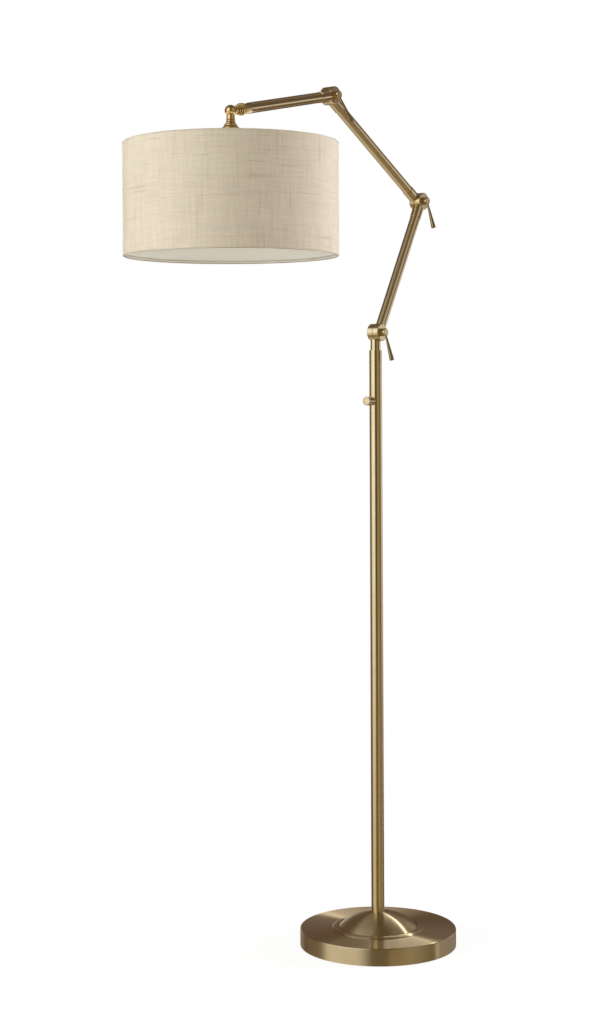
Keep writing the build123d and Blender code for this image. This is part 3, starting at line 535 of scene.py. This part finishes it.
# ---- shade: linen skin and edge tapes ----
shade_low, shade_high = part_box("shade_cloth")
shade_centre = (shade_low + shade_high) / 2
SHADE_RADIUS = (shade_high.x - shade_low.x) / 2
shade_top, shade_bottom = shade_high.z, shade_low.z
SEAM_TURN = radians(37)
SEAM_WIDTH = 0.011
SEAM_RISE = 0.00035
SEAM_EDGE = 0.0016
THREADS = 800
ALONG_THREAD = 26
SLUBS_ACROSS = 260
ALONG_SLUB = 10
CLOTH_CLOUDS = 20
LIGHT_SLUB = (0.60, 0.78)
DARK_GAP = (0.40, 0.24)
SLUB_TINT = (1.10, 1.09, 1.06)
GAP_TINT = (0.78, 0.75, 0.70)
CLOUD_TINT = (0.93, 0.92, 0.88)


def linen(name, colour, strength=1.0):
    """Slubbed linen: threads both ways, long slubs and cloudy tone, by angle and height."""
    made, tree, shader = material(name)
    place = vector_calc(tree, "SUBTRACT", position(tree), shade_centre)
    parts = add(tree, "ShaderNodeSeparateXYZ", {0: place})
    x, y, z = parts.outputs
    angle = calc(tree, "ARCTAN2", y, x)
    arc = calc(tree, "MULTIPLY", angle, SHADE_RADIUS)

    def threads(around, upwards, seed, detail=2.0):
        vector = combine(tree, calc(tree, "MULTIPLY", arc, around),
                         calc(tree, "MULTIPLY", z, upwards), seed)
        return noise(tree, vector, 1.0, detail, 0.6)

    warp = threads(THREADS, ALONG_THREAD, 1.5)
    weft = threads(ALONG_THREAD, THREADS, 7.5)
    warp_slub = threads(SLUBS_ACROSS, ALONG_SLUB, 3.5)
    weft_slub = threads(ALONG_SLUB, SLUBS_ACROSS, 9.5)
    cloud = threads(CLOTH_CLOUDS, CLOTH_CLOUDS, 5.5, 3.0)
    slubs = calc(tree, "ADD", span(tree, warp_slub, *LIGHT_SLUB),
                 span(tree, weft_slub, *LIGHT_SLUB))
    gaps = calc(tree, "ADD", span(tree, warp_slub, *DARK_GAP),
                span(tree, weft_slub, *DARK_GAP))
    fine = calc(tree, "ADD", warp, weft)
    base = mix(tree, span(tree, fine, 0.7, 1.3), rgba(colour, 1 - 0.12 * strength),
               rgba(colour, 1 + 0.08 * strength))
    base = mix(tree, calc(tree, "MULTIPLY", slubs, 0.75 * strength, clamp=True), base,
               tinted(colour, SLUB_TINT))
    base = mix(tree, calc(tree, "MULTIPLY", gaps, 0.85 * strength, clamp=True), base,
               tinted(colour, GAP_TINT))
    base = mix(tree, span(tree, cloud, 0.35, 0.65, 0, 0.25), base, tinted(colour, CLOUD_TINT))
    tree.links.new(base, shader.inputs["Base Color"])
    rough = span(tree, fine, 0.6, 1.4, 0.95, 0.80)
    tree.links.new(rough, shader.inputs["Roughness"])
    relief = calc(tree, "MULTIPLY_ADD", slubs, 0.8, fine)
    relief = calc(tree, "MULTIPLY_ADD", gaps, -0.5, relief)
    bump = add(tree, "ShaderNodeBump", {"Height": relief, "Strength": 0.35, "Distance": 0.0004})
    tree.links.new(bump.outputs[0], shader.inputs["Normal"])
    shader.inputs["Specular IOR Level"].default_value = 0.2
    shader.inputs["Sheen Weight"].default_value = 0.35
    shader.inputs["Sheen Roughness"].default_value = 0.4
    return made


def revolved(name, profile, columns, keep=None):
    """A mesh turned about the shade's axis from (radius, height) points, smooth all over."""
    verts = []
    for column in range(columns):
        turned = 2 * pi * column / columns
        for radius, z in profile:
            verts.append((shade_centre.x + radius * cos(turned),
                          shade_centre.y + radius * sin(turned), z))
    rows = len(profile)
    faces = []
    for column in range(columns):
        following = (column + 1) % columns
        for row in range(rows - 1):
            if keep is None or keep(2 * pi * (column + 0.5) / columns, row):
                faces.append((column * rows + row, following * rows + row,
                              following * rows + row + 1, column * rows + row + 1))
    used = sorted({corner for face in faces for corner in face})
    number = {old: new for new, old in enumerate(used)}
    mesh = bpy.data.meshes.new(name)
    mesh.from_pydata([verts[old] for old in used], [],
                     [tuple(number[corner] for corner in face) for face in faces])
    mesh.polygons.foreach_set("use_smooth", [True] * len(mesh.polygons))
    made = bpy.data.objects.new(name, mesh)
    scene.collection.objects.link(made)
    return made


def thicken(piece, thickness):
    """Give a surface its thickness, inwards from its face."""
    solid = piece.modifiers.new("thickness", "SOLIDIFY")
    solid.thickness = thickness
    solid.offset = -1.0
    solid.use_even_offset = True


def angle_gap(one, two):
    """The smaller angle between two turns."""
    return abs((one - two + pi) % (2 * pi) - pi)


# The cloth is a fine grid turned about the shade, raised by slubs, a slow wave and the seam lap.
CLOTH_RADIUS = SHADE_RADIUS - 0.0004
CLOTH_THICKNESS = 0.0006
CLOTH_COLUMNS = 720
CLOTH_ROWS = 120
EDGE_GAP = 0.0006
CLOTH_HEIGHT = shade_top - shade_bottom
SLUBS = 420
SLUB_LONG = (0.008, 0.035)
SLUB_WIDE = (0.0009, 0.0018)
SLUB_RISE = (0.00006, 0.00018)
WAVE_RISE = 0.00012
row_step = (CLOTH_HEIGHT - 2 * EDGE_GAP) / CLOTH_ROWS
cloth_profile = [(CLOTH_RADIUS, shade_top - EDGE_GAP - row_step * row)
                 for row in range(CLOTH_ROWS + 1)]
cloth = revolved("linen_skin", cloth_profile, CLOTH_COLUMNS)
draw = np.random.default_rng(7)
slub_turn = draw.uniform(0, 2 * pi, SLUBS)
slub_z = draw.uniform(shade_bottom, shade_top, SLUBS)
slub_long = draw.uniform(*SLUB_LONG, SLUBS)
slub_wide = draw.uniform(*SLUB_WIDE, SLUBS)
slub_rise = draw.uniform(*SLUB_RISE, SLUBS)
slub_upright = draw.uniform(0, 1, SLUBS) < 0.5
points = np.array([v.co for v in cloth.data.vertices])
flat = points[:, :2] - np.array(shade_centre[:2])
turned = np.arctan2(flat[:, 1], flat[:, 0])
rise = WAVE_RISE * np.sin(3 * turned + 1.0) * np.cos(9 * points[:, 2])
for at, z, length, width, lift, upright in zip(slub_turn, slub_z, slub_long, slub_wide,
                                               slub_rise, slub_upright):
    beside = ((turned - at + pi) % (2 * pi) - pi) * SHADE_RADIUS
    above = points[:, 2] - z
    spread, run = (beside, above) if upright else (above, beside)
    near = (np.abs(spread) < 4 * width) & (np.abs(run) < 2.5 * length)
    rise[near] += lift * np.exp(-(spread[near] / width) ** 2 - (run[near] / length) ** 4)
seam_side = ((turned - SEAM_TURN + pi) % (2 * pi) - pi) * SHADE_RADIUS
rise += SEAM_RISE * (np.clip((seam_side + SEAM_WIDTH / 2) / SEAM_EDGE, 0, 1)
                     * (seam_side < SEAM_WIDTH / 2))
radii = np.linalg.norm(flat, axis=1)
points[:, :2] = np.array(shade_centre[:2]) + flat * ((radii + rise) / radii)[:, None]
cloth.data.vertices.foreach_set("co", points.ravel())
thicken(cloth, CLOTH_THICKNESS)
LINEN = (0.73, 0.65, 0.485)
cloth.data.materials.append(linen("linen", LINEN))

# Each edge tape is a narrow bias strip folded round the hoop.
wire_low, wire_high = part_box("shade_bottom_ring")
WIRE_RADIUS = (wire_high.z - wire_low.z) / 2
HOOP = (wire_high.x - wire_low.x) / 2 - WIRE_RADIUS
TAPE_GAP = 0.0006
TAPE_WRAP = WIRE_RADIUS + TAPE_GAP
TAPE_OUT = SHADE_RADIUS + 0.0002
TAPE_COLUMNS = 540
TAPE_THICKNESS = 0.0004
liner_inside = HOOP + WIRE_RADIUS
top_tape = [(HOOP - 0.0012, -0.0040)]
top_tape += [(HOOP + TAPE_WRAP * cos(a), -WIRE_RADIUS + TAPE_WRAP * sin(a))
             for a in np.radians([205, 185, 165, 145, 125, 105])]
top_tape += [(HOOP + 0.0008, TAPE_GAP + 0.0001), (SHADE_RADIUS - 0.0022, TAPE_GAP),
             (SHADE_RADIUS - 0.0010, 0.0003), (SHADE_RADIUS - 0.0002, -0.0003),
             (TAPE_OUT, -0.0007), (TAPE_OUT, -0.0011)]
bottom_tape = [(TAPE_OUT, 0.0012), (TAPE_OUT, 0.0008), (SHADE_RADIUS - 0.0002, 0.0003),
               (SHADE_RADIUS - 0.0010, -0.0002), (liner_inside + 0.0002, -0.0001),
               (liner_inside - 0.0005, 0.0004), (liner_inside - 0.0006, 0.0010)]
SPIDER_TURNS = [radians(turn) for turn in (60, 180, 300)]
NOTCH = 0.0044 / HOOP
NOTCH_ROWS = 7


def clear_of_arms(turned, row):
    return row >= NOTCH_ROWS or min(angle_gap(turned, arm) for arm in SPIDER_TURNS) > NOTCH


TAPE = (0.70, 0.62, 0.48)
for name, outline, height, keep in (("shade_top_tape", top_tape, shade_top, clear_of_arms),
                                    ("shade_bottom_tape", bottom_tape, shade_bottom, None)):
    tape = revolved(name, [(radius, height + z) for radius, z in outline], TAPE_COLUMNS, keep)
    thicken(tape, TAPE_THICKNESS)
    tape.data.materials.append(linen(f"{name}_cloth", TAPE, 0.6))
    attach(tape, "shade")

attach(cloth, "shade")
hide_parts("shade_cloth")
